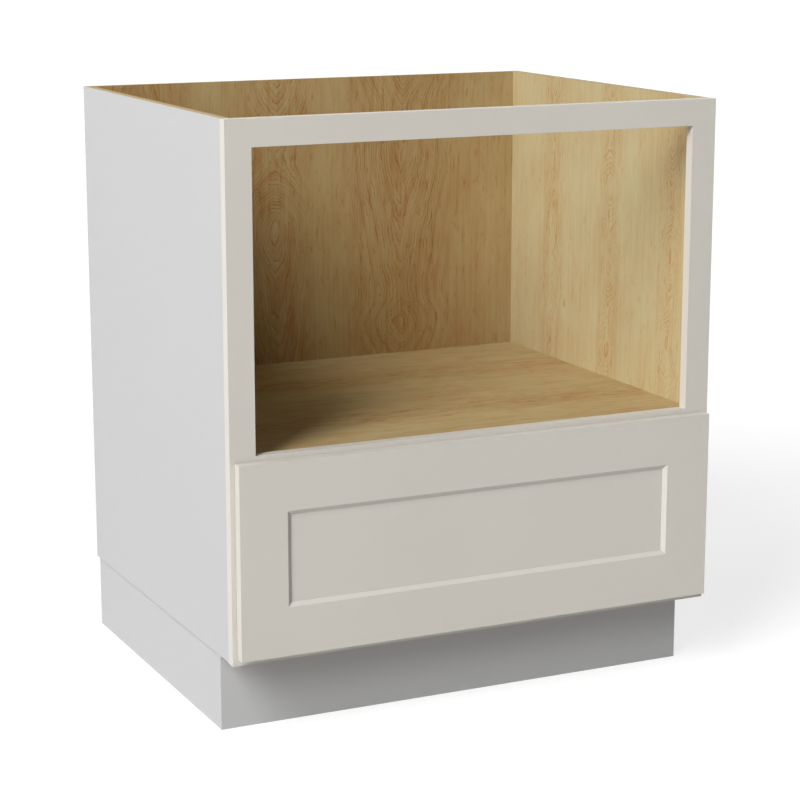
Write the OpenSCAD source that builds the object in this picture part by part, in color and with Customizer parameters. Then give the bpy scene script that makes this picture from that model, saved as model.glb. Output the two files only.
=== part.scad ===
// Framed base cabinet with an open microwave bay above one drawer.
// The front faces -Y. The origin is on the floor, under the middle of the whole cabinet.

/* [Cabinet] */
// Width over the face frame
cabinet_w = 762; // [600:1:914]
// Height from the floor to the top edge
cabinet_h = 866.8; // [840:0.1:920]
// Depth from the front of the face frame to the back
cabinet_d = 603.2; // [595:0.1:650]
// Thickness of the side panels
side_t = 12.7; // [11:0.1:18]
// Thickness of the back panel
back_t = 9.5; // [4:0.1:12]
// Thickness of the floor of the microwave bay
deck_t = 18; // [15:0.5:22]
// Thickness of the cabinet bottom
bottom_t = 12.7; // [11:0.1:18]
// Depth of the housings that hold the deck, the bottom and the back
housing_d = 6; // [4:0.5:8]
// How far the mid rail stands above the deck
deck_drop = 4.2; // [0:0.1:8]
// Depth of the rabbets above the deck's tongues
deck_rabbet = 5; // [3:0.5:8]

/* [Face frame] */
// Thickness of the face frame
frame_t = 16; // [16:0.5:22]
// Width of the stiles
stile_w = 38.1; // [35:0.1:50]
// Height of the top rail
top_rail_h = 38.1; // [32:0.1:50]
// Height of the rail between bay and drawer
mid_rail_h = 38.1; // [32:0.1:45]
// Height of the rail under the drawer
bottom_rail_h = 38.1; // [32:0.1:45]
// Clear height of the microwave bay
bay_h = 419.1; // [400:0.1:440]
// How far the stiles reach past the side panels
frame_overhang = 1.6; // [0:0.1:4]

/* [Plinth] */
// Height of the plinth
plinth_h = 114.3; // [100:0.1:125]
// Set-back of the plinth behind the face frame
plinth_recess = 64; // [50:1:80]
// Set-back of the plinth at each end
plinth_inset = 6; // [2:0.5:8]
// Thickness of the plinth boards
plinth_t = 18; // [15:0.5:22]

/* [Drawer front] */
// Thickness of the front's stiles and rails
front_t = 16; // [16:0.5:22]
// Face frame that shows beside the front
reveal_side = 6.8; // [3:0.1:12]
// Mid rail that shows above the front
reveal_top = 7.2; // [3:0.1:14]
// Bottom rail that shows below the front
reveal_bottom = 10; // [5:0.5:16]
// Width of the front's stiles and rails, with their bevel
member_w = 76.2; // [70:0.1:90]
// Width of the bevel along the inner edge
bevel_w = 5.8; // [4:0.1:9]
// Depth of the bevel at the panel
bevel_d = 4; // [2.5:0.1:4.5]
// Set-back of the centre panel behind the front's face
panel_drop = 4.6; // [4.6:0.1:6]
// Thickness of the centre panel
panel_t = 6.35; // [5:0.05:7]
// Depth of the groove that holds the centre panel
panel_groove = 10; // [8:0.5:12]

/* [Drawer box] */
// Thickness of the drawer box boards
box_t = 15.9; // [14:0.1:18]
// Thickness of the drawer bottom
floor_t = 6.35; // [5:0.05:9]
// Height of the drawer bottom above the box's lower edge
floor_up = 12.7; // [11:0.1:16]
// Depth of the grooves that hold the drawer bottom
floor_groove = 6; // [4:0.5:8]
// Height of the box above the bottom rail
box_lift = 10; // [6:0.5:14]
// Space between the box and the mid rail
box_headroom = 18.6; // [12:0.2:30]
// How far the box reaches past the back ends of the slides
box_past = 1; // [0:0.5:6]
// Tails in each corner joint
tail_count = 4; // [3:1:5]
// Width of the pins between the tails, at their narrow end
pin_w = 12; // [8:0.5:16]
// Spread of each side of a tail
tail_flare = 2; // [1:0.1:2.5]

/* [Slides] */
// Space behind the slides, in front of the back panel
slide_room = 40.7; // [30:0.1:60]
// Height of the outer member
slide_h = 45.7; // [42:0.1:50]
// Sheet thickness of the members
slide_sheet = 1; // [0.8:0.05:1.2]
// Diameter of the balls
ball_d = 3.2; // [3:0.1:3.6]
// Balls in each row
ball_count = 5; // [3:1:7]
// Length of a ball cage
cage_l = 240; // [200:1:250]
// Length of a cage past its last balls
cage_end = 20; // [5:1:40]
// Height of the slides' middle above the box's lower edge
slide_up = 62; // [50:1:90]
// Set-back of the slides behind the face frame's front
slide_back = 3; // [2:0.5:6]
// Height of the cleats behind the slides
cleat_h = 76; // [60:1:90]

/* [Fasteners] */
// Diameter of the screws
screw_d = 3.8; // [3.4:0.1:4]
// Diameter of the screw heads
head_d = 8; // [7:0.1:8.5]
// Height of the screw heads
head_h = 2.4; // [2:0.1:2.6]
// Diameter of the bumpers behind the drawer front
bumper_d = 9.5; // [8:0.5:12]
// Gap between the drawer front and the face frame
bumper_gap = 1.2; // [1:0.1:2]

/* [Hidden] */
$fn = 32;
joint_gap = 0.1;   // clearance in housings, grooves and dovetails
screw_gap = 0.1;   // clearance of a screw in its hole
race_gap = 0.3;    // running clearance of a ball in its raceway
member_gap = 1.2;  // space between two slide members, where a cage runs
web_gap = 0.4;     // space between the middle member's edge and the inner member's web
race_lip = 1;      // height of a flange above the ball's centre
race_bite = 1.05;  // half of the inner raceway that the inner member keeps
cage_t = 0.5;      // sheet thickness of the cages
stop_gap = 0.5;    // space between the members' back ends and the stop
cage_rim = 0.8;    // width of a cage beside its balls
rest_gap = 0.2;    // space between the bumpers and the face frame
cleat_past = 22;   // how far the cleats reach past the slides
screw_cover = 3;   // wood left in front of a screw's point
groove_cover = 1;  // wood left between a screw's point and the centre panel's groove
panel_play = 1;    // room for the centre panel to swell at each edge
over = 1;          // extra length of every cut that runs out of a face

half_w = cabinet_w / 2;
side_x = half_w - frame_overhang;
side_in = side_x - side_t;
open_x = half_w - stile_w;
back_y = cabinet_d - back_t;
bay_top = cabinet_h - top_rail_h;
bay_low = bay_top - bay_h;
mid_low = bay_low - mid_rail_h;
bottom_rail_top = plinth_h + bottom_rail_h;
deck_top = bay_low - deck_drop;
deck_low = deck_top - deck_t;
tongue_top = deck_top - deck_rabbet;
bottom_top = plinth_h + bottom_t;
total_d = cabinet_d + bumper_gap + front_t;
face_y = bumper_gap + front_t - total_d / 2;

plinth_x = half_w - plinth_inset;
front_half = half_w - reveal_side;
front_low = plinth_h + reveal_bottom;
front_top = bay_low - reveal_top;
front_high = front_top - front_low;
sight_x = front_half - member_w;
sight_low = front_low + member_w;
sight_top = front_top - member_w;
groove_y = panel_drop - front_t - bumper_gap;
groove_w = panel_t + joint_gap;

race_r = ball_d / 2 + race_gap;
bead_r = race_r + slide_sheet;
bead_half = sqrt(pow(bead_r, 2) - pow(race_lip + slide_sheet, 2));
outer_v = slide_h / 2 - bead_r;
inner_v = outer_v - 2 * race_lip - slide_sheet;
inner_u = 2 * slide_sheet + 2 * member_gap + race_bite;
outer_u = inner_u + sqrt(pow(2 * race_r + slide_sheet, 2) - pow(outer_v - inner_v, 2));
flange_u = outer_u + bead_half;
slide_w = flange_u + web_gap + slide_sheet;
outer_cage_v = (inner_v + bead_r + outer_v + race_lip) / 2;
inner_cage_v = (outer_v - bead_r + inner_v - race_lip) / 2;

slide_l = back_y - slide_back - slide_room;
box_x = open_x - slide_w;
box_z = bottom_rail_top + box_lift;
box_y = -bumper_gap;
box_h = mid_low - box_headroom - box_z;
box_l = slide_back + slide_l + box_past - box_y;
slide_z = box_z + slide_up;
slide_mid_y = slide_back + slide_l / 2;
tail_pitch = box_h / tail_count;
ball_pitch = (cage_l - 2 * cage_end) / (ball_count - 1);
cleat_end = slide_back + slide_l + cleat_past;

screw_point = 3;
screw_tip = 0.4;
recess_w = 1.2;
recess_deep = 1.4;
outer_screw_end = 45;
outer_screw_pitch = (slide_l - frame_t - 2 * outer_screw_end) / 2;
outer_screw_y = concat([frame_t / 2], [for (i = [0:2]) frame_t + outer_screw_end + i * outer_screw_pitch]);
inner_screw_end = 40;
inner_screw_pitch = (slide_l - 2 * inner_screw_end) / 2;
inner_screw_y = [for (i = [0:2]) slide_back + inner_screw_end + i * inner_screw_pitch];
slide_screw_l = slide_sheet + side_in - open_x - screw_cover;
drawer_screw_l = slide_sheet + box_t - screw_cover;
plinth_screw_l = 38;
plinth_screw_x = 250;
front_screw_x = 200;
front_screw_l = box_t + front_t - panel_drop - panel_t - joint_gap - groove_cover;
bumper_edge = 28;
pocket_angle = 15;
pocket_edge = 10;
pocket_r = 4.8;
pocket_wood = 14;
pocket_grip = 16;

wood_paint = [0.76, 0.745, 0.715];
wood_grey = [0.83, 0.83, 0.83];
wood_maple = [0.72, 0.60, 0.43];
wood_box = [0.82, 0.70, 0.52];
steel = [0.72, 0.73, 0.75];
bright_steel = [0.82, 0.83, 0.85];

// Every piece is drawn with the front of the face frame at y = 0, and moved to its place here.
module placed(tint) {
    translate([0, face_y, 0]) color(tint) children();
}

// Pieces that come in pairs are drawn at +X. A side of -1 gives the left one.
module on_side(side) {
    if (side < 0) mirror([1, 0, 0]) children();
    else children();
}

module both_sides() {
    children();
    mirror([1, 0, 0]) children();
}

// A box from its low corner to its high corner.
module block(low, high) {
    translate(low) cube(high - low);
}

// An outline in X and Z, run along Y from one place to another.
module run_y(from, to) {
    translate([0, to, 0]) rotate([90, 0, 0]) linear_extrude(to - from) children();
}

// An outline in Y and Z, run along X from one place to another.
module run_x(from, to) {
    translate([from, 0, 0]) rotate([90, 0, 90]) linear_extrude(to - from) children();
}

// ---- Screws: the axis is Z and the point is down ----

module shank(length, gap) {
    radius = screw_d / 2 + gap;
    translate([0, 0, screw_point - length]) cylinder(h = length - screw_point, r = radius);
    translate([0, 0, -length - gap]) cylinder(h = screw_point + gap, r1 = screw_tip + gap, r2 = radius);
}

module cross_recess() {
    arm = head_d * 0.28;
    for (turn = [0, 90]) rotate(turn) block([-arm, -recess_w / 2, -recess_deep], [arm, recess_w / 2, over]);
}

// The head of a flat screw ends at z = 0.
module flat_screw(length) {
    difference() {
        union() {
            translate([0, 0, -head_h]) cylinder(h = head_h, r1 = screw_d / 2, r2 = head_d / 2);
            shank(length, 0);
        }
        cross_recess();
    }
}

module flat_hole(length) {
    wide = head_d / 2 + screw_gap;
    translate([0, 0, -head_h]) cylinder(h = head_h, r1 = screw_d / 2 + screw_gap, r2 = wide);
    cylinder(h = over, r = wide);
    shank(length + screw_gap, screw_gap);
}

// The head of a pan screw stands on z = 0.
module pan_screw(length) {
    difference() {
        union() {
            cylinder(h = head_h * 0.6, r = head_d / 2);
            translate([0, 0, head_h * 0.6]) cylinder(h = head_h * 0.4, r1 = head_d / 2, r2 = head_d * 0.36);
            shank(length, 0);
        }
        translate([0, 0, head_h]) cross_recess();
    }
}

module pan_hole(length) {
    cylinder(h = over, r = screw_d / 2 + screw_gap);
    shank(length + screw_gap, screw_gap);
}

// ---- Carcass ----

module side_housing(front, back, low, high) {
    block([side_in - over, front, low], [side_in + housing_d, back + over, high]);
}

module side_panel(side) {
    placed(wood_grey) on_side(side) difference() {
        block([side_in, frame_t, plinth_h], [side_x, cabinet_d, cabinet_h]);
        side_housing(frame_t - over, back_y, deck_low - joint_gap, tongue_top + joint_gap);
        side_housing(frame_t - over, back_y, plinth_h - over, bottom_top + joint_gap);
        side_housing(back_y, cabinet_d, plinth_h - over, cabinet_h + over);
    }
}

module back_panel() {
    reach = side_in + housing_d - joint_gap;
    placed(wood_maple) block([-reach, back_y, plinth_h], [reach, cabinet_d, cabinet_h]);
}

// The deck's ends meet the side panels, and tongues along them reach into the housings.
module bay_deck() {
    reach = side_in + housing_d - joint_gap;
    placed(wood_maple) {
        block([-side_in, frame_t, deck_low], [side_in, back_y, deck_top]);
        block([-reach, frame_t, deck_low], [reach, back_y, tongue_top]);
    }
}

module cabinet_bottom() {
    reach = side_in + housing_d - joint_gap;
    placed(wood_maple) difference() {
        block([-reach, frame_t, plinth_h], [reach, back_y, bottom_top]);
        plinth_screw_places() flat_hole(plinth_screw_l);
    }
}

// ---- Face frame ----

// Two screws at each end of each rail, driven from the back of the rail into the stile.
module pocket_places() {
    for (rail = [[plinth_h, bottom_rail_top], [mid_low, bay_low], [bay_top, cabinet_h]])
        for (z = [rail[0] + pocket_edge, rail[1] - pocket_edge])
            both_sides() translate([open_x, frame_t / 2, z]) rotate([0, 0, -pocket_angle])
                translate([-pocket_wood, 0, 0]) rotate([0, -90, 0]) children();
}

module pocket_hole() {
    cylinder(h = frame_t / 2 / sin(pocket_angle) + pocket_wood, r = pocket_r);
    shank(pocket_wood + pocket_grip + screw_gap, screw_gap);
}

module frame_stile(side) {
    placed(wood_paint) difference() {
        on_side(side) block([open_x, 0, plinth_h], [half_w, frame_t, cabinet_h]);
        pocket_places() pocket_hole();
        slide_screw_places() flat_hole(slide_screw_l);
    }
}

module frame_rail(low, high) {
    placed(wood_paint) difference() {
        block([-open_x, 0, low], [open_x, frame_t, high]);
        pocket_places() pocket_hole();
    }
}

module frame_top_rail() { frame_rail(bay_top, cabinet_h); }
module frame_mid_rail() { frame_rail(mid_low, bay_low); }
module frame_bottom_rail() { frame_rail(plinth_h, bottom_rail_top); }

module frame_pocket_screws() {
    placed(steel) pocket_places() pan_screw(pocket_wood + pocket_grip);
}

// ---- Plinth, mitred at its front corners ----

module plinth_front() {
    y = plinth_recess;
    inner_x = plinth_x - plinth_t;
    placed(wood_grey) difference() {
        linear_extrude(plinth_h)
            polygon([[-plinth_x, y], [plinth_x, y], [inner_x, y + plinth_t], [-inner_x, y + plinth_t]]);
        plinth_screw_places() flat_hole(plinth_screw_l);
    }
}

module plinth_side(side) {
    y = plinth_recess;
    inner_x = plinth_x - plinth_t;
    placed(wood_grey) on_side(side) linear_extrude(plinth_h)
        polygon([[plinth_x, y], [plinth_x, cabinet_d], [inner_x, cabinet_d], [inner_x, y + plinth_t]]);
}

module plinth_back() {
    reach = plinth_x - plinth_t;
    placed(wood_grey) difference() {
        block([-reach, cabinet_d - plinth_t, 0], [reach, cabinet_d, plinth_h]);
        plinth_screw_places() flat_hole(plinth_screw_l);
    }
}

module plinth_brace() {
    placed(wood_grey) difference() {
        block([-plinth_t / 2, plinth_recess + plinth_t, 0], [plinth_t / 2, cabinet_d - plinth_t, plinth_h]);
        plinth_screw_places() flat_hole(plinth_screw_l);
    }
}

// Screws through the cabinet bottom into the plinth's back board, front board and brace.
module plinth_screw_places() {
    for (y = [plinth_recess + plinth_t / 2, back_y - head_d])
        both_sides() translate([plinth_screw_x, y, bottom_top]) children();
    for (y = [cabinet_d / 3, cabinet_d * 2 / 3]) translate([0, y, bottom_top]) children();
}

module plinth_screws() {
    placed(steel) plinth_screw_places() flat_screw(plinth_screw_l);
}

// ---- Ball-bearing slides ----
// An outline is drawn with u from the stile towards the drawer and v up.

module slide_run(side, from, to) {
    placed(steel) on_side(side) translate([open_x, 0, slide_z]) mirror([1, 0, 0]) run_y(from, to) children();
}

module up_and_down() {
    children();
    mirror([0, 1]) children();
}

module at_outer_ball() { translate([outer_u, outer_v]) children(); }
module at_inner_ball() { translate([inner_u, inner_v]) children(); }

// The part of a raceway's bead that stands above (side 1) or below (side -1) a flange.
module bead(side) {
    intersection() {
        circle(bead_r);
        translate([-bead_r, side > 0 ? race_lip : -race_lip - bead_r]) square([2 * bead_r, bead_r]);
    }
}

module outer_outline() {
    translate([0, -outer_v]) square([slide_sheet, 2 * outer_v]);
    up_and_down() difference() {
        union() {
            translate([0, outer_v + race_lip]) square([flange_u + race_gap, slide_sheet]);
            translate([0, outer_v - race_lip]) square([slide_sheet, 2 * race_lip + slide_sheet]);
            at_outer_ball() bead(1);
        }
        at_outer_ball() circle(race_r);
    }
}

module middle_outline() {
    web_u = slide_sheet + member_gap;
    translate([web_u, -inner_v]) square([slide_sheet, 2 * inner_v]);
    up_and_down() difference() {
        union() {
            translate([web_u, inner_v - race_lip]) square([slide_sheet, 2 * race_lip + slide_sheet]);
            translate([web_u, inner_v + race_lip]) square([flange_u - web_u, slide_sheet]);
            at_inner_ball() bead(1);
            at_outer_ball() bead(-1);
        }
        at_inner_ball() circle(race_r);
        at_outer_ball() circle(race_r);
    }
}

module inner_outline() {
    edge_u = 2 * slide_sheet + 2 * member_gap;
    flange_v = inner_v - race_lip;
    translate([slide_w - slide_sheet, -flange_v]) square([slide_sheet, 2 * flange_v]);
    up_and_down() intersection() {
        difference() {
            union() {
                translate([edge_u, flange_v - slide_sheet]) square([slide_w - edge_u, slide_sheet]);
                at_inner_ball() bead(-1);
            }
            at_inner_ball() circle(race_r);
        }
        translate([edge_u, 0]) square([slide_w, slide_h]);
    }
}

// A cage is a thin channel that lies halfway between two members.
module cage_outline(web_u, tip_u, flange_v) {
    half = cage_t / 2;
    difference() {
        translate([web_u - half, -flange_v - half]) square([tip_u - web_u + half, 2 * flange_v + cage_t]);
        translate([web_u + half, -flange_v + half]) square([tip_u, 2 * flange_v - cage_t]);
    }
}

// Screws of the outer members, with their heads let into the web.
module slide_screw_places() {
    both_sides() for (y = outer_screw_y)
        translate([open_x - slide_sheet, y, slide_z]) rotate([0, -90, 0]) children();
}

module slide_outer(side) {
    tab_v = outer_v - race_lip;
    back_end = slide_back + slide_l + stop_gap;
    difference() {
        union() {
            slide_run(side, slide_back, back_end + slide_sheet) outer_outline();
            slide_run(side, back_end, back_end + slide_sheet)
                translate([0, -tab_v]) square([inner_u, 2 * tab_v]);
        }
        placed(steel) slide_screw_places() flat_hole(slide_screw_l);
    }
}

module slide_middle(side) {
    slide_run(side, slide_back, slide_back + slide_l) middle_outline();
}

// Screws of the inner members, from inside the channel into the drawer side.
module inner_screw_places() {
    both_sides() for (y = inner_screw_y)
        translate([box_x + slide_sheet, y, slide_z]) rotate([0, 90, 0]) children();
}

module slide_inner(side) {
    difference() {
        slide_run(side, slide_back, slide_back + slide_l) inner_outline();
        placed(steel) inner_screw_places() pan_hole(drawer_screw_l);
    }
}

module slide_outer_screws() {
    placed(steel) slide_screw_places() flat_screw(slide_screw_l);
}

module slide_inner_screws() {
    placed(steel) inner_screw_places() pan_screw(drawer_screw_l);
}

// Centres of the balls along a slide.
function ball_y(i) = slide_mid_y + (i - (ball_count - 1) / 2) * ball_pitch;

module ball_places(side, u, v) {
    placed(bright_steel) on_side(side) for (i = [0:ball_count - 1]) for (up = [-1, 1])
        translate([open_x - u, ball_y(i), slide_z + up * v]) children();
}

module ball_cage(side, web_u, ball_u, flange_v) {
    tip_u = ball_u + ball_d / 2 + cage_rim;
    front = slide_mid_y - cage_l / 2;
    difference() {
        slide_run(side, front, front + cage_l) cage_outline(web_u, tip_u, flange_v);
        ball_places(side, ball_u, flange_v) cylinder(h = ball_d, r = ball_d / 2 + joint_gap, center = true);
    }
}

module outer_cage(side) {
    web_u = slide_sheet + member_gap / 2;
    ball_cage(side, web_u, outer_u, outer_cage_v);
}

module inner_cage(side) {
    web_u = 2 * slide_sheet + member_gap * 3 / 2;
    ball_cage(side, web_u, inner_u, inner_cage_v);
}

module outer_balls(side) {
    ball_places(side, outer_u, outer_v) sphere(ball_d / 2);
}

module inner_balls(side) {
    ball_places(side, inner_u, inner_v) sphere(ball_d / 2);
}

// Packs a slide out from the side panel to the edge of the stile.
module runner_cleat(side) {
    low = slide_z - cleat_h / 2;
    placed(wood_box) difference() {
        on_side(side) block([open_x, frame_t, low], [side_in, cleat_end, low + cleat_h]);
        slide_screw_places() flat_hole(slide_screw_l);
    }
}

// ---- Drawer box, dovetailed at all four corners ----

// A board in Y and Z whose upper edges are rounded.
module rounded_board(thick, high) {
    ease = 3;
    square([thick, high - ease]);
    translate([ease, 0]) square([thick - 2 * ease, high]);
    for (y = [ease, thick - ease]) translate([y, high - ease]) circle(ease);
}

// The tails of one corner, in Y and Z: wide at y = 0, and narrow where they leave the side board.
module tails(gap) {
    wide = (tail_pitch - pin_w) / 2 + gap;
    narrow = wide - tail_flare;
    for (i = [0:tail_count - 1]) translate([0, (i + 0.5) * tail_pitch]) polygon([
        [-gap, -wide], [-gap, wide], [box_t, narrow],
        [box_t + over, narrow], [box_t + over, -narrow], [box_t, -narrow]
    ]);
}

module floor_groove_cut() {
    reach = box_x - box_t + floor_groove;
    block(
        [-reach, box_t - floor_groove, floor_up - joint_gap],
        [reach, box_l - box_t + floor_groove, floor_up + floor_t + joint_gap]
    );
}

module in_box() {
    translate([0, box_y, box_z]) children();
}

module drawer_side(side) {
    placed(wood_box) on_side(side) difference() {
        in_box() difference() {
            union() {
                translate([box_x - box_t, 0, 0]) run_y(box_t, box_l - box_t) rounded_board(box_t, box_h);
                run_x(box_x - box_t, box_x) tails(0);
                translate([0, box_l, 0]) mirror([0, 1, 0]) run_x(box_x - box_t, box_x) tails(0);
            }
            floor_groove_cut();
        }
        inner_screw_places() pan_hole(drawer_screw_l);
    }
}

module tail_sockets() {
    both_sides() run_x(box_x - box_t - joint_gap, box_x + over) tails(joint_gap);
}

module box_end() {
    difference() {
        run_x(-box_x, box_x) rounded_board(box_t, box_h);
        tail_sockets();
    }
}

module drawer_box_front() {
    placed(wood_box) difference() {
        in_box() difference() {
            box_end();
            floor_groove_cut();
        }
        front_screw_places() pan_hole(front_screw_l);
    }
}

module drawer_box_back() {
    placed(wood_box) in_box() difference() {
        translate([0, box_l, 0]) mirror([0, 1, 0]) box_end();
        floor_groove_cut();
    }
}

module drawer_bottom() {
    reach = box_x - box_t + floor_groove - joint_gap;
    end = box_t - floor_groove + joint_gap;
    placed(wood_maple) in_box() block([-reach, end, floor_up], [reach, box_l - end, floor_up + floor_t]);
}

// ---- Drawer front: stiles and rails round a centre panel ----

// The moulded inner edge in depth and width: the edge lies at (0, 0), the member at positive width.
module bevel_cut() {
    polygon([[-over, -over], [bevel_w * (1 + over / bevel_d), -over], [0, bevel_d], [-over, bevel_d]]);
}

module front_stile(side) {
    face = -bumper_gap - front_t;
    back = -bumper_gap;
    placed(wood_paint) on_side(side) difference() {
        block([sight_x, face, front_low], [front_half, back, front_top]);
        translate([sight_x, face, front_low - over]) linear_extrude(front_high + 2 * over) bevel_cut();
        block(
            [sight_x - over, groove_y, front_low - over],
            [sight_x + panel_groove, groove_y + groove_w, front_top + over]
        );
    }
}

// A rail drawn as the bottom one, with its inner edge at z = 0. Its ends are cut to fit over
// the bevels of the stiles, and tongues reach into the stiles' grooves.
module front_rail() {
    face = -bumper_gap - front_t;
    back = -bumper_gap;
    tongue = sight_x + panel_groove - joint_gap;
    difference() {
        union() {
            translate([0, 0, -member_w]) linear_extrude(member_w) polygon([
                [-sight_x, back], [-sight_x, face + bevel_d], [-sight_x - bevel_w, face],
                [sight_x + bevel_w, face], [sight_x, face + bevel_d], [sight_x, back]
            ]);
            block([-tongue, groove_y + joint_gap, -member_w], [tongue, groove_y + panel_t, 0]);
        }
        translate([-front_half, face, 0]) mirror([0, 0, 1]) rotate([90, 0, 90]) linear_extrude(2 * front_half)
            bevel_outline();
        block([-tongue - over, groove_y, -panel_groove], [tongue + over, groove_y + groove_w, over]);
    }
}

// The same moulded edge with its width going up.
module bevel_outline() {
    polygon([[-over, -over], [-over, bevel_w * (1 + over / bevel_d)], [bevel_d, 0], [bevel_d, -over]]);
}

module front_rail_bottom() {
    placed(wood_paint) difference() {
        translate([0, 0, sight_low]) front_rail();
        front_screw_places() pan_hole(front_screw_l);
    }
}

module front_rail_top() {
    placed(wood_paint) difference() {
        translate([0, 0, sight_top]) mirror([0, 0, 1]) front_rail();
        front_screw_places() pan_hole(front_screw_l);
    }
}

module front_panel() {
    reach = panel_groove - panel_play;
    placed(wood_paint) block(
        [-sight_x - reach, groove_y + joint_gap, sight_low - reach],
        [sight_x + reach, groove_y + panel_t, sight_top + reach]
    );
}

// Screws from inside the drawer, through the box's front board into the rails of the drawer front.
module front_screw_places() {
    low = (box_z + floor_up + floor_t + sight_low) / 2;
    high = (sight_top + box_z + box_h) / 2;
    for (z = [low, high]) both_sides()
        translate([front_screw_x, box_y + box_t, z]) rotate([-90, 0, 0]) children();
}

module front_screws() {
    placed(steel) front_screw_places() pan_screw(front_screw_l);
}

// Soft discs behind the corners of the drawer front, where it meets the stiles.
module front_bumpers() {
    thick = bumper_gap - rest_gap;
    x = (open_x + front_half) / 2;
    placed([0.9, 0.9, 0.88]) for (z = [front_low + bumper_edge, front_top - bumper_edge])
        both_sides() translate([x, -bumper_gap, z]) rotate([-90, 0, 0]) cylinder(h = thick, r = bumper_d / 2);
}

side_panel(-1);  // side_panel_left
side_panel(1);  // side_panel_right
back_panel();
bay_deck();
cabinet_bottom();
frame_stile(-1);  // frame_stile_left
frame_stile(1);  // frame_stile_right
frame_top_rail();
frame_mid_rail();
frame_bottom_rail();
frame_pocket_screws();
plinth_front();
plinth_back();
plinth_side(-1);  // plinth_side_left
plinth_side(1);  // plinth_side_right
plinth_brace();
plinth_screws();
runner_cleat(-1);  // runner_cleat_left
runner_cleat(1);  // runner_cleat_right
slide_outer(-1);  // slide_outer_left
slide_outer(1);  // slide_outer_right
slide_outer_screws();
slide_middle(-1);  // slide_middle_left
slide_middle(1);  // slide_middle_right
slide_inner(-1);  // slide_inner_left
slide_inner(1);  // slide_inner_right
slide_inner_screws();
outer_cage(-1);  // outer_cage_left
outer_cage(1);  // outer_cage_right
inner_cage(-1);  // inner_cage_left
inner_cage(1);  // inner_cage_right
outer_balls(-1);  // outer_balls_left
outer_balls(1);  // outer_balls_right
inner_balls(-1);  // inner_balls_left
inner_balls(1);  // inner_balls_right
drawer_side(-1);  // drawer_side_left
drawer_side(1);  // drawer_side_right
drawer_box_front();
drawer_box_back();
drawer_bottom();
front_stile(-1);  // front_stile_left
front_stile(1);  // front_stile_right
front_rail_top();
front_rail_bottom();
front_panel();
front_screws();
front_bumpers();
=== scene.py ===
import math

import bpy
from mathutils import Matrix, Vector


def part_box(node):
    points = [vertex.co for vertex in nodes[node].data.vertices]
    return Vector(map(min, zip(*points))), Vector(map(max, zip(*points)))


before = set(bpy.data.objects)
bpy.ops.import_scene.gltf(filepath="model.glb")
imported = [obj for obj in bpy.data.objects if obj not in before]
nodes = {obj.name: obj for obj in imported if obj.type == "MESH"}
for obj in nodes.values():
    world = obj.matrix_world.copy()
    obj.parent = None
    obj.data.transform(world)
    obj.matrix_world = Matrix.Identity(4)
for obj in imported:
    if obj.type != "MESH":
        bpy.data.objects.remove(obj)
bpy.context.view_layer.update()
scene = bpy.context.scene
print("frame loaded:", len(nodes), "nodes")


# Shader maths: a wire is the output of a node, and arithmetic on wires adds Math nodes
class Wire:
    def __init__(self, finish, socket):
        self.finish = finish
        self.socket = socket

    def maths(self, operation, first, second):
        return self.finish.node("Math", {"operation": operation}, {0: first, 1: second})

    def __add__(self, other):
        return self.maths("ADD", self, other)

    def __radd__(self, other):
        return self.maths("ADD", other, self)

    def __sub__(self, other):
        return self.maths("SUBTRACT", self, other)

    def __rsub__(self, other):
        return self.maths("SUBTRACT", other, self)

    def __mul__(self, other):
        return self.maths("MULTIPLY", self, other)

    def __rmul__(self, other):
        return self.maths("MULTIPLY", other, self)

    def __truediv__(self, other):
        return self.maths("DIVIDE", self, other)

    def __rtruediv__(self, other):
        return self.maths("DIVIDE", other, self)

    def __mod__(self, other):
        return self.maths("FLOORED_MODULO", self, other)

    def __rmod__(self, other):
        return self.maths("FLOORED_MODULO", other, self)

    def __pow__(self, other):
        return self.maths("POWER", self, other)

    def __rpow__(self, other):
        return self.maths("POWER", other, self)

    def __gt__(self, other):
        return self.maths("GREATER_THAN", self, other)

    def __lt__(self, other):
        return self.maths("LESS_THAN", self, other)


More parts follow.
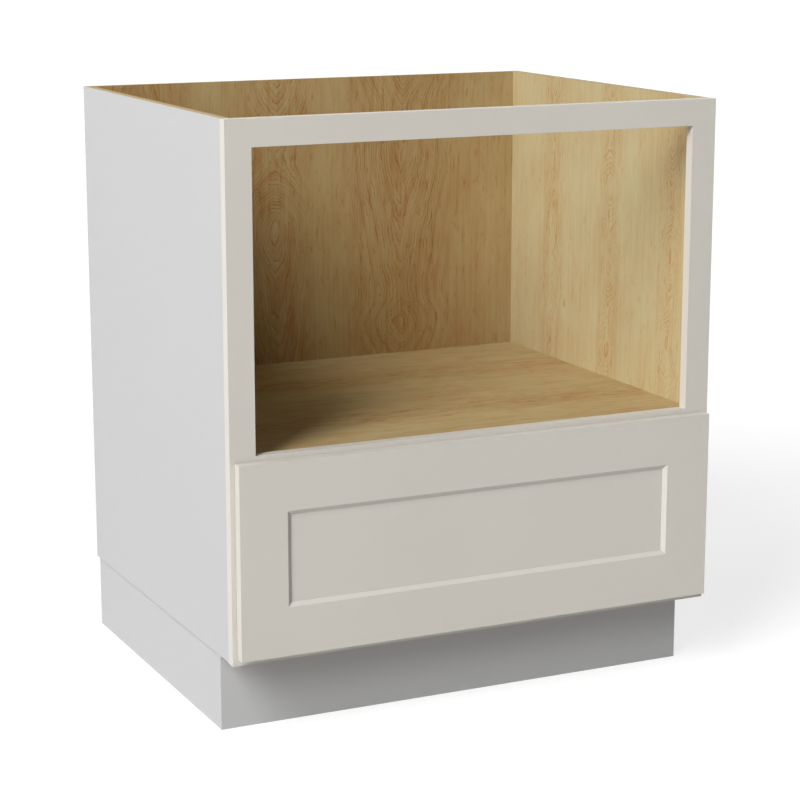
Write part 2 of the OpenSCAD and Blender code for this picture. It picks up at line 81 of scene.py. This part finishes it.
# One material and the nodes in it
class Finish:
    def __init__(self, name, world=None):
        if world is None:
            self.material = bpy.data.materials.new(name)
            owner = self.material
        else:
            owner = world
        owner.use_nodes = True
        self.tree = owner.node_tree
        self.tree.nodes.clear()

    # Settings come first, because some of them change which sockets a node has
    def node(self, kind, settings=None, inputs=None, out=0):
        made = self.tree.nodes.new("ShaderNode" + kind)
        for name, value in (settings or {}).items():
            if name == "stops":
                self.setStops(made.color_ramp, value)
            elif name == "spread":
                made.color_ramp.interpolation = value
            else:
                setattr(made, name, value)
        for name, value in (inputs or {}).items():
            socket = self.socketOf(made.inputs, name)
            if isinstance(value, Wire):
                self.tree.links.new(value.socket, socket)
            else:
                socket.default_value = value
        if not made.outputs:
            return None
        return Wire(self, self.socketOf(made.outputs, out))

    def socketOf(self, sockets, name):
        if isinstance(name, int):
            return sockets[name]
        return next((s for s in sockets if s.identifier == name), None) or sockets[name]

    def setStops(self, ramp, stops):
        while len(ramp.elements) < len(stops):
            ramp.elements.new(1.0)
        for element, (place, level) in zip(ramp.elements, stops):
            element.position = place
            element.color = (level, level, level, 1.0)

    def one(self, operation, value):
        return self.node("Math", {"operation": operation}, {0: value})

    def fade(self, value, low, high):
        ends = {"Value": value, "From Min": low, "From Max": high}
        return self.node("MapRange", {"interpolation_type": "SMOOTHSTEP"}, ends)

    def curve(self, value, stops, spread="LINEAR"):
        return self.node("ValToRGB", {"stops": stops, "spread": spread}, {"Fac": value})

    def blend(self, factor, first, second):
        both = {"Factor_Float": factor, "A_Color": first, "B_Color": second}
        return self.node("Mix", {"data_type": "RGBA"}, both, "Result_Color")

    def vector(self, x, y, z):
        return self.node("CombineXYZ", None, {"X": x, "Y": y, "Z": z})

    def parts(self, vector):
        return [self.node("SeparateXYZ", None, {"Vector": vector}, axis) for axis in range(3)]

    # Noise whose grain differs along each axis, about 0 and from -0.5 to 0.5
    def noise(self, x, y, z, detail=2.0, roughness=0.5):
        place = self.vector(x, y, z)
        sizes = {"Vector": place, "Scale": 1.0, "Detail": detail, "Roughness": roughness}
        return self.node("TexNoise", None, sizes) - 0.5

    # Kept between 0 and 1
    def held(self, value):
        return self.node("Clamp", None, {"Value": value})

    def place(self):
        return self.parts(self.node("TexCoord", None, None, "Object"))

    def facing(self):
        return self.parts(self.node("TexCoord", None, None, "Normal"))

    def bump(self, height, strength, reach, normal=None):
        sizes = {"Strength": strength, "Distance": reach, "Height": height}
        if normal is not None:
            sizes["Normal"] = normal
        return self.node("Bump", None, sizes)

    def surface(self, **sockets):
        shader = self.node("BsdfPrincipled", None, {name.replace("_", " "): v for name, v in sockets.items()})
        self.node("OutputMaterial", None, {"Surface": shader})
        return self.material


# A colour as it looks on a screen, from 0 to 255, made linear for the shader
def colour(red, green, blue):
    levels = [c / 255 for c in (red, green, blue)]
    return [c / 12.92 if c <= 0.04045 else ((c + 0.055) / 1.055) ** 2.4 for c in levels] + [1.0]


# The same colour, lighter or darker
def shaded(base, share):
    return [c * share for c in base[:3]] + [1.0]


def wear(material, *names):
    for name in names:
        slots = nodes[name].data.materials
        slots.clear()
        slots.append(material)


# Camera at the photograph's viewing angle
camera = {
    "place": (-1.4537, -3.0836, 1.1469),
    "turn": 25.445,      # degrees right of straight at the front
    "tilt": 12.403,      # degrees down
    "lens": 102.27,      # mm
    "sensor": 36.0,      # mm wide
}
cameraData = bpy.data.cameras.new("camera")
cameraData.sensor_width = camera["sensor"]
cameraData.lens = camera["lens"]
cameraObject = bpy.data.objects.new("camera", cameraData)
scene.collection.objects.link(cameraObject)
turn, tilt = math.radians(camera["turn"]), math.radians(camera["tilt"])
aim = Vector((math.sin(turn) * math.cos(tilt), math.cos(turn) * math.cos(tilt), -math.sin(tilt)))
cameraObject.location = camera["place"]
cameraObject.rotation_mode = "QUATERNION"
cameraObject.rotation_quaternion = aim.to_track_quat("-Z", "Y")
scene.camera = cameraObject
scene.view_settings.view_transform = "Standard"
print("camera placed")


# Lamps, sky and floor
lamps = {
    # level on a face square to the lamp, degrees left of the front, degrees up, metres off, wide and tall
    "key": {"level": 1.27, "round": 55.5, "up": 37, "off": 18, "wide": 7, "tall": 13},
    "low": {"level": 0.18, "round": 55, "up": 8, "off": 18, "wide": 8, "tall": 5},
    "edge": {"level": 0.2, "round": 110, "up": 55, "off": 12, "wide": 6, "tall": 6},
    "rear": {"level": 0.35, "round": 235, "up": 16, "off": 14, "wide": 8, "tall": 8},
}
for name, lamp in lamps.items():
    data = bpy.data.lights.new(name, "AREA")
    data.shape = "ELLIPSE"
    data.size = lamp["wide"]
    data.size_y = lamp["tall"]
    data.energy = lamp["level"] * (math.pi * lamp["off"]) ** 2
    around, up = math.radians(lamp["round"]), math.radians(lamp["up"])
    toLamp = Vector((-math.sin(around) * math.cos(up), -math.cos(around) * math.cos(up), math.sin(up)))
    lampObject = bpy.data.objects.new(name, data)
    lampObject.rotation_mode = "QUATERNION"
    lampObject.rotation_quaternion = (-toLamp).to_track_quat("-Z", "Y")
    lampObject.location = toLamp * lamp["off"]
    lampObject.visible_camera = False
    scene.collection.objects.link(lampObject)

room = {
    "sky": 0.04,             # what the world gives to the object
    "seen": 1.0,             # what camera, mirror and glass rays see of it
    "floorSize": 60.0,       # metres
    "floorSeen": 1.0,        # colour that camera, mirror and glass rays see
    "floorBounce": 0.6,      # colour that lights the object
    "shadow": 0.28,          # how much of the shadow on the floor shows
    "shadowEnds": (2.6, 1.2),  # metres from the middle where it starts to show, and shows in full
    "glow": 1.06,            # strength of the white floor round it
}


# Camera, mirror and glass rays see the white background, and all others see what lights the object
def seenRays(finish):
    names = ("Is Camera Ray", "Is Glossy Ray", "Is Transmission Ray")
    rays = [finish.node("LightPath", None, None, name) for name in names]
    return rays[0] + rays[1] + rays[2] > 0.5


def skyFinish():
    scene.world = bpy.data.worlds.new("sky")
    sky = Finish("sky", scene.world)
    strength = seenRays(sky) * (room["seen"] - room["sky"]) + room["sky"]
    light = sky.node("Background", None, {"Color": (1, 1, 1, 1), "Strength": strength})
    sky.node("OutputWorld", None, {"Surface": light})


def floorFinish():
    floor = Finish("pale_floor")
    seen = seenRays(floor)
    shade = seen * (room["floorSeen"] - room["floorBounce"]) + room["floorBounce"]
    matt = floor.node("BsdfDiffuse", None, {"Color": floor.vector(shade, shade, shade)})
    glow = floor.node("Emission", None, {"Color": (1, 1, 1, 1), "Strength": room["glow"]})
    x, y = floor.place()[:2]
    away = floor.one("SQRT", x * x + y * y)
    shadow = floor.fade(away, *room["shadowEnds"]) * room["shadow"]
    both = floor.node("MixShader", None, {0: seen * (1 - shadow), 1: matt, 2: glow})
    floor.node("OutputMaterial", None, {"Surface": both})
    return floor.material


def makeFloor():
    half = room["floorSize"] / 2
    mesh = bpy.data.meshes.new("floor")
    corners = [(-half, -half, 0), (half, -half, 0), (half, half, 0), (-half, half, 0)]
    mesh.from_pydata(corners, [], [(0, 1, 2, 3)])
    mesh.materials.append(floorFinish())
    floor = bpy.data.objects.new("floor", mesh)
    scene.collection.objects.link(floor)


skyFinish()
makeFloor()
print("light and floor made")


# Greige paint on the face frame and the drawer front
paint = {
    "colour": (195, 191, 183),
    "patch": 0.015,       # how much the colour drifts
    "drift": 3.0,         # waves of that drift in a metre
    "driftEnds": 0.25,
    "rough": 0.45,
    "dust": 40.0,         # waves of the dust in a metre
    "dustRough": 0.08,    # how much it changes the roughness
    "gloss": 0.3,
    "peel": 520.0,        # waves of the sprayed film in a metre
    "peelDepth": 0.00002,
    "peelShow": 0.08,     # strength of its bump
    "edge": 0.0003,       # radius of the eased edges
    "bevel": 0.0058,      # width of the bevel round the drawer front's panel
}


def paintFinish():
    f = Finish("greige_paint")
    x, y, z = f.place()
    drift = f.noise(x * paint["drift"], y * paint["drift"], z * paint["drift"], 3.0)
    film = f.noise(x * paint["peel"], y * paint["peel"], z * paint["peel"], 1.0)
    dust = f.noise(x * paint["dust"], y * paint["dust"], z * paint["dust"], 4.0)
    base = colour(*paint["colour"])
    dark = shaded(base, 1 - paint["patch"])
    light = shaded(base, 1 + paint["patch"])
    aside = f.one("ABSOLUTE", x)
    # Edges are eased, but not where a rail and a stile meet flush
    joints = [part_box("frame_top_rail")[1].x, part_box("front_stile_right")[0].x + paint["bevel"]]
    onJoint = sum(f.one("ABSOLUTE", aside - joint) < 2 * paint["edge"] for joint in joints)
    eased = f.node("Bevel", {"samples": 8}, {"Radius": paint["edge"]})
    plain = f.node("NewGeometry", None, None, "Normal")
    both = {"Factor_Float": onJoint, "A_Vector": eased, "B_Vector": plain}
    normal = f.node("Mix", {"data_type": "VECTOR"}, both, "Result_Vector")
    return f.surface(
        Base_Color=f.blend(f.fade(drift, -paint["driftEnds"], paint["driftEnds"]), dark, light),
        Roughness=dust * paint["dustRough"] + paint["rough"],
        Specular_IOR_Level=paint["gloss"],
        Normal=f.bump(film, paint["peelShow"], paint["peelDepth"], normal),
    )


paintedNodes = [
    "frame_stile_left", "frame_stile_right", "frame_top_rail", "frame_mid_rail", "frame_bottom_rail",
    "front_stile_left", "front_stile_right", "front_rail_top", "front_rail_bottom", "front_panel",
]
wear(paintFinish(), *paintedNodes)
print("paint made")


# Maple veneer on plywood; the side panels and the plinth have grey laminate outside
veneer = {
    "ring": 0.0045,       # spacing of the growth rings
    "stir": 2.8,          # rings that the middle noise moves a line by, from one side to the other
    "wobble": 1.2,        # rings that the fine noise moves it by
    "band": 1.7,          # radians of the broad warm bands that one ring takes
    "sway": 0.02,         # how far the whole figure sways, in metres
    "core": 0.45,         # share of a figure's reach that it fills in full
    "year": 0.7,          # how much the rings differ from year to year
    "patchy": 0.75,       # how much of a line comes and goes
    "patchyEnds": (-0.2, 0.2),
    "dashEnds": (0.06, 0.25),
    "dashNear": 0.8,      # how much the brown dashes keep to the figures
    "rough": 0.55,
    "gloss": 0.1,
    "fibreRough": 0.12,
    "fibreRise": 0.5,
    "pore": 0.3,          # how deep the ring lines lie, against the fibre
    "bump": 0.3,
    "bumpDepth": 0.00006,
    # How much each part of the grain warms the ground and darkens it, beside the leaf's own values
    "warmed": {"cloud": 1.2, "mottle": 3, "dashes": 0.5, "lines": 0.6, "start": 0.3},
    "darkened": {"fleck": 0.6, "fibre": 0.3, "cloud": 0.15, "start": 0.05},
}
# Waves in a metre across and along the grain, shift of the seed, detail and roughness
grains = {
    "sway": (1.1, 2.4, 0, 1.0, 0.5),
    "middle": (26, 9, 7, 2.0, 0.5),
    "fine": (170, 48, 13, 3.0, 0.5),
    "patchy": (55, 20, 31, 3.0, 0.6),
    "straight": (230, 5, 17, 2.0, 0.7),
    "fibre": (800, 26, 3, 3.0, 0.65),
    "cloud": (14, 6, 41, 4.0, 0.6),
    "mottle": (75, 20, 23, 3.0, 0.6),
    "dashes": (190, 40, 47, 2.0, 0.6),
}
flecks = {"across": 13, "along": 5, "shift": 0.5, "ends": (0.055, 0.02)}
plywood = {
    "ply": 0.0021,
    "face": (184, 168, 126),
    "cross": (156, 130, 88),
    "crossShow": 0.8,
    "streak": (120, 900),     # waves in a metre along a ply and through it
    "streakShow": 0.4,
    "edgeRough": 0.2,
}
laminate = {
    "colour": (178, 178, 178),
    "rough": 0.5,
    "grit": 1500.0,
    "gritRise": 0.3,
    "smudge": 9,
    "smudgeRough": 0.08,
    "skin": 0.0010,           # depth within which a point counts as on the laminate
}

# Leaves of the plain-sliced veneer. Each figure has its middle, how far it spreads, how round its arches are,
# and the depth of the cut at places along the grain: an eye lies where the cut is shallowest
leaves = {
    "back": {
        "ground": (168, 149, 106),
        "warm": (156, 119, 73),
        "late": (120, 78, 40),
        "figured": 0.12,      # how much warmer the figures are
        "mottle": 0.14,       # depth of the short cloudy strokes
        "line": 0.66,         # depth of the ring lines
        "band": 0.16,         # depth of the broad warm bands
        "straight": 0.72,     # depth of the straight grain
        "dash": 0.15,         # depth of the short brown dashes
        "span": (0.38, 0.88),
        "deep": 0.085,
        "figures": [
            {"middle": -0.064, "reach": 0.075, "round": 1.6, "cuts": [
                (0.0, 0.65), (0.2, 0.5), (0.36, 0.36), (0.51, 0.2), (0.62, 0.65), (0.74, 0.9),
                (0.85, 0.6), (1.0, 0.3),
            ]},
            {"middle": 0.160, "reach": 0.12, "round": 1.25, "cuts": [
                (0.0, 0.8), (0.15, 0.4), (0.23, 0.62), (0.34, 0.58), (0.54, 0.36), (0.78, 0.1),
                (0.86, 0.5), (1.0, 0.2),
            ]},
            {"middle": -0.30, "reach": 0.08, "round": 1.6, "cuts": [
                (0.0, 0.3), (0.3, 0.6), (0.5, 0.5), (0.7, 0.25), (0.85, 0.5), (1.0, 0.7),
            ]},
        ],
    },
    "side": {
        "ground": (178, 167, 130),
        "warm": (174, 149, 105),
        "late": (154, 108, 60),
        "figured": 0.1,
        "mottle": 0.1,
        "line": 0.74,
        "band": 0.08,
        "straight": 0.6,
        "dash": 0.32,
        "span": (0.0, 0.88),
        "deep": 0.085,
        "figures": [
            {"middle": 0.157, "reach": 0.045, "round": 1.25, "cuts": [
                (0.0, 0.5), (0.2, 0.3), (0.4, 0.6), (0.48, 0.2), (0.62, 0.5), (0.75, 0.75),
                (0.86, 0.95), (1.0, 0.6),
            ]},
            {"middle": -0.025, "reach": 0.04, "round": 1.6, "cuts": [
                (0.0, 0.5), (0.3, 0.3), (0.42, 0.6), (0.51, 0.2), (0.58, 0.5), (0.66, 0.2),
                (0.72, 0.55), (0.8, 0.25), (0.88, 0.6), (1.0, 0.4),
            ]},
            {"middle": -0.203, "reach": 0.04, "round": 1.5, "cuts": [
                (0.0, 0.5), (0.3, 0.7), (0.45, 0.5), (0.56, 0.2), (0.63, 0.5), (0.71, 0.2),
                (0.81, 0.6), (0.91, 0.25), (1.0, 0.5),
            ]},
        ],
    },
    "deck": {
        "ground": (168, 150, 109),
        "warm": (163, 132, 87),
        "late": (126, 86, 46),
        "figured": 0.1,
        "mottle": 0.4,
        "line": 0.75,
        "band": 0.3,
        "straight": 0.68,
        "dash": 0.62,
        "span": (-0.4, 0.4),
        "deep": 0.06,
        "figures": [
            {"middle": -0.13, "reach": 0.05, "round": 1.3, "cuts": [
                (0.0, 0.2), (0.2, 0.5), (0.4, 0.3), (0.6, 0.6), (0.8, 0.4), (1.0, 0.7),
            ]},
            {"middle": 0.12, "reach": 0.05, "round": 1.3, "cuts": [
                (0.0, 0.6), (0.25, 0.3), (0.5, 0.55), (0.7, 0.35), (1.0, 0.6),
            ]},
        ],
    },
}
ringShade = [(0.0, 0.1), (0.2, 0.0), (0.42, 0.4), (0.55, 0.1), (0.85, 1.0), (0.95, 0.3), (1.0, 0.1)]


# Lines of one figure: rings at their distance from the pith, which runs under the middle of the figure
def figureLines(f, across, along, leaf, figure, stir):
    low, high = leaf["span"]
    power = figure["round"]
    aside = f.one("ABSOLUTE", across - figure["middle"])
    cut = f.one("ABSOLUTE", f.curve((along - low) / (high - low), figure["cuts"], "CARDINAL")) * leaf["deep"]
    reach = ((aside / veneer["ring"]) ** power + (cut / veneer["ring"]) ** power) ** (1 / power)
    rings = reach + stir
    line = f.curve(rings % 1.0, ringShade)
    year = f.node("TexWhiteNoise", {"noise_dimensions": "1D"}, {"W": f.one("FLOOR", rings)})
    near = f.fade(aside, figure["reach"], figure["reach"] * veneer["core"])
    band = f.one("SINE", rings * veneer["band"])
    strength = year * veneer["year"] + (1 - veneer["year"])
    return line * strength * near, near, band * near


# Colour of a leaf, its fibre, and the lines and flecks that lie a little deeper
def veneerFace(f, across, along, leaf, seed):
    def grain(kind):
        wide, tall, shift, detail, roughness = grains[kind]
        return f.noise(across * wide, along * tall, seed + shift, detail, roughness)

    across = across + grain("sway") * veneer["sway"]
    stir = grain("middle") * veneer["stir"] + grain("fine") * veneer["wobble"]
    figures = [figureLines(f, across, along, leaf, figure, stir) for figure in leaf["figures"]]
    near = sum(figure[1] for figure in figures)
    bands = sum(figure[2] for figure in figures)
    patchy = f.fade(grain("patchy"), *veneer["patchyEnds"]) * veneer["patchy"] + (1 - veneer["patchy"])
    lines = sum(figure[0] for figure in figures) * patchy
    fibre, cloud, mottle = grain("fibre"), grain("cloud"), grain("mottle")
    dashes = f.fade(grain("dashes"), *veneer["dashEnds"])
    place = f.vector(across * flecks["across"], along * flecks["along"], seed + flecks["shift"])
    spots = f.node("TexVoronoi", None, {"Vector": place, "Scale": 1.0, "Randomness": 1.0})
    fleck = f.fade(spots, *flecks["ends"])
    part = veneer["warmed"]
    warmth = near * leaf["figured"] + cloud * part["cloud"] + mottle * (leaf["mottle"] * part["mottle"])
    warmth = warmth + dashes * part["dashes"] + lines * part["lines"] + bands * leaf["band"] + part["start"]
    part = veneer["darkened"]
    gathered = near * veneer["dashNear"] + (1 - veneer["dashNear"])
    dark = lines * leaf["line"] + dashes * gathered * leaf["dash"] + fleck * part["fleck"]
    dark = dark + grain("straight") * leaf["straight"] + fibre * part["fibre"] + cloud * part["cloud"]
    dark = dark + mottle * leaf["mottle"] + part["start"]
    base = f.blend(f.held(warmth), colour(*leaf["ground"]), colour(*leaf["warm"]))
    base = f.blend(f.held(dark), base, colour(*leaf["late"]))
    return base, fibre, lines * veneer["pore"] + fleck


def sheetFinish(name, across, along, through, leaf, seed, outside=None):
    f = Finish(name)
    axes = f.place()
    normals = f.facing()
    face, fibre, pits = veneerFace(f, axes[across], axes[along], leaves[leaf], seed)
    layer = (axes[through] / plywood["ply"]) % 2.0 > 1.0
    level, deep = plywood["streak"]
    streak = f.noise(axes[across] * level, axes[along] * level, axes[through] * deep, 2.0)
    cross = layer * plywood["crossShow"] + streak * plywood["streakShow"]
    core = f.blend(cross, colour(*plywood["face"]), colour(*plywood["cross"]))
    isEdge = f.one("ABSOLUTE", normals[through]) < 0.5
    base = f.blend(isEdge, face, core)
    rough = fibre * veneer["fibreRough"] + (isEdge * plywood["edgeRough"] + veneer["rough"])
    height = fibre * veneer["fibreRise"] - pits
    if outside is not None:
        grit = f.noise(*[a * laminate["grit"] for a in axes], 1.0)
        isOut = outside(f, axes)
        base = f.blend(isOut, base, colour(*laminate["colour"]))
        smudge = f.noise(*[a * laminate["smudge"] for a in axes], 3.0) * laminate["smudgeRough"]
        rough = (rough - laminate["rough"]) * (1 - isOut) + smudge + laminate["rough"]
        height = height * (1 - isOut) + grit * isOut * laminate["gritRise"]
    return f.surface(
        Base_Color=base,
        Roughness=rough,
        Specular_IOR_Level=veneer["gloss"],
        Normal=f.bump(height, veneer["bump"], veneer["bumpDepth"]),
    )


def beyond(axis, limit):
    return lambda f, axes: f.one("ABSOLUTE", axes[axis]) > limit


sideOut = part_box("side_panel_right")[1].x - laminate["skin"]
wear(sheetFinish("side_veneer_left", 1, 2, 0, "side", 3.1, beyond(0, sideOut)), "side_panel_left")
wear(sheetFinish("side_veneer_right", 1, 2, 0, "side", 8.4, beyond(0, sideOut)), "side_panel_right")
wear(sheetFinish("back_veneer", 0, 2, 1, "back", 5.2), "back_panel")
wear(sheetFinish("deck_veneer", 1, 0, 2, "deck", 1.7), "bay_deck")
wear(sheetFinish("bottom_veneer", 1, 0, 2, "deck", 6.6), "cabinet_bottom")
wear(sheetFinish("drawer_floor_veneer", 0, 1, 2, "deck", 9.9), "drawer_bottom")


def frontOf(limit):
    return lambda f, axes: axes[1] < limit


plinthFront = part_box("plinth_front")[0].y + laminate["skin"]
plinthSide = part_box("plinth_side_right")[1].x - laminate["skin"]
wear(sheetFinish("plinth_front_board", 2, 0, 1, "deck", 2.3, frontOf(plinthFront)), "plinth_front")
wear(
    sheetFinish("plinth_side_board", 2, 1, 0, "deck", 4.4, beyond(0, plinthSide)),
    "plinth_side_left", "plinth_side_right",
)
wear(sheetFinish("plinth_back_board", 2, 0, 1, "deck", 7.7), "plinth_back")
wear(sheetFinish("plinth_brace_board", 2, 1, 0, "deck", 5.9), "plinth_brace")
print("veneer and laminate made")


# Solid maple: growth rings round a pith outside the board, so that ends show end grain
maple = {
    "light": (192, 170, 132),
    "dark": (166, 136, 97),
    "end": (160, 130, 92),
    "ring": 0.0034,       # spacing of the rings
    "ringShade": [(0.0, 0.1), (0.5, 0.0), (0.88, 1.0), (1.0, 0.1)],
    "pith": 0.12,         # how far the pith's place differs from board to board, in metres
    "wider": 3,           # how many times as much it differs level as upright
    "high": 0.3,          # its height above the ground
    "swayBy": (0.03, 0.02),     # how far the rings sway, level and upright
    "stirBy": 0.8,        # rings that the finer noise moves a line by
    # Waves in a metre along the grain and across it, detail and roughness
    "sway": (1.1, 3, 1.0, 0.5),
    "stir": (6, 40, 2.0, 0.5),
    "fibre": (14, 500, 3.0, 0.6),
    "broad": (1.2, 14, 2.0, 0.5),
    "shade": {"line": 0.32, "fibre": 0.5, "broad": 0.4, "start": 0.15},
    "endFacing": (0.5, 0.9),
    "endShow": 0.7,
    "endRough": 0.18,
    "fibreRough": 0.1,
    "sheen": 0.4,
    "lineSink": 0.3,
    "bump": 0.25,
    "bumpDepth": 0.00005,
}


def boardFinish(name, along, seed):
    f = Finish(name)
    axes = f.place()
    normals = f.facing()
    first, second = [axes[i] for i in range(3) if i != along]

    def grain(kind, shift=0.0):
        long, wide, detail, roughness = maple[kind]
        return f.noise(axes[along] * long, first * wide, second * wide + shift, detail, roughness)

    sway = grain("sway", seed)
    one = first - maple["pith"] * math.cos(seed) * maple["wider"] + sway * maple["swayBy"][0]
    two = second - maple["pith"] * math.sin(seed) - maple["high"] + sway * maple["swayBy"][1]
    reach = f.one("SQRT", one * one + two * two)
    rings = reach / maple["ring"] + grain("stir") * maple["stirBy"]
    line = f.curve(rings % 1.0, maple["ringShade"])
    fibre = grain("fibre")
    part = maple["shade"]
    shade = line * part["line"] + fibre * part["fibre"] + grain("broad", seed) * part["broad"] + part["start"]
    base = f.blend(f.held(shade), colour(*maple["light"]), colour(*maple["dark"]))
    isEnd = f.fade(f.one("ABSOLUTE", normals[along]), *maple["endFacing"])
    base = f.blend(isEnd * maple["endShow"], base, colour(*maple["end"]))
    rough = isEnd * maple["endRough"] + fibre * maple["fibreRough"] + maple["sheen"]
    height = fibre - line * maple["lineSink"]
    normal = f.bump(height, maple["bump"], maple["bumpDepth"])
    return f.surface(Base_Color=base, Roughness=rough, Normal=normal)


wear(boardFinish("maple_side_left", 1, 0.4), "drawer_side_left")
wear(boardFinish("maple_side_right", 1, 2.9), "drawer_side_right")
wear(boardFinish("maple_front_board", 0, 1.3), "drawer_box_front")
wear(boardFinish("maple_back_board", 0, 4.1), "drawer_box_back")
wear(boardFinish("maple_cleat", 1, 5.5), "runner_cleat_left", "runner_cleat_right")
print("solid maple made")


# Zinc-plated slides and screws, cage strip and polished balls
metals = {
    "zinc_sheet": {"colour": (192, 195, 200), "rough": 0.28, "streak": 0.16, "blotch": 0.1},
    "cage_strip": {"colour": (176, 178, 182), "rough": 0.34, "streak": 0.2, "blotch": 0.16},
    "bearing_ball": {"colour": (214, 215, 218), "rough": 0.1, "streak": 0.0, "blotch": 0.06},
    "screw_zinc": {"colour": (200, 197, 186), "rough": 0.32, "streak": 0.0, "blotch": 0.28},
}
plating = {
    "streakWaves": (900, 9, 900),    # rolling marks run along the slides
    "blotchWaves": (60, 30, 60),
    "dull": 0.88,                    # how much of its colour a dull patch keeps
    "dullEnds": (-0.1, 0.35),
    "blotchRise": 0.2,
    "bump": 0.2,
    "bumpDepth": 0.00004,
}


def metalFinish(name):
    metal = metals[name]
    f = Finish(name)
    axes = f.place()
    streak = f.noise(*[a * waves for a, waves in zip(axes, plating["streakWaves"])], 2.0)
    blotch = f.noise(*[a * waves for a, waves in zip(axes, plating["blotchWaves"])], 3.0)
    base = colour(*metal["colour"])
    dull = f.fade(blotch, *plating["dullEnds"])
    height = streak * metal["streak"] + blotch * plating["blotchRise"]
    return f.surface(
        Base_Color=f.blend(dull, base, shaded(base, plating["dull"])),
        Metallic=1.0,
        Roughness=streak * metal["streak"] + blotch * metal["blotch"] + metal["rough"],
        Normal=f.bump(height, plating["bump"], plating["bumpDepth"]),
    )


def pair(*names):
    return [name + side for name in names for side in ("_left", "_right")]


wear(metalFinish("zinc_sheet"), *pair("slide_outer", "slide_middle", "slide_inner"))
wear(metalFinish("cage_strip"), *pair("outer_cage", "inner_cage"))
wear(metalFinish("bearing_ball"), *pair("outer_balls", "inner_balls"))
wear(
    metalFinish("screw_zinc"),
    "frame_pocket_screws", "plinth_screws", "slide_outer_screws", "slide_inner_screws", "front_screws",
)
print("metal made")


# Clear bumpers between the drawer front and the face frame
bumper = {
    "colour": (226, 226, 220),
    "rough": 0.35,
    "clear": 0.55,
    "bend": 1.49,         # index of refraction
    "cloud": 300,         # waves in a metre
    "cloudRough": 0.1,
    "bump": 0.1,
    "bumpDepth": 0.00003,
}


def bumperFinish():
    f = Finish("bumper_clear")
    cloud = f.noise(*[a * bumper["cloud"] for a in f.place()], 2.0)
    return f.surface(
        Base_Color=colour(*bumper["colour"]),
        Roughness=cloud * bumper["cloudRough"] + bumper["rough"],
        Transmission_Weight=bumper["clear"],
        IOR=bumper["bend"],
        Normal=f.bump(cloud, bumper["bump"], bumper["bumpDepth"]),
    )


wear(bumperFinish(), "front_bumpers")
print("bumpers made")

print("scene done")
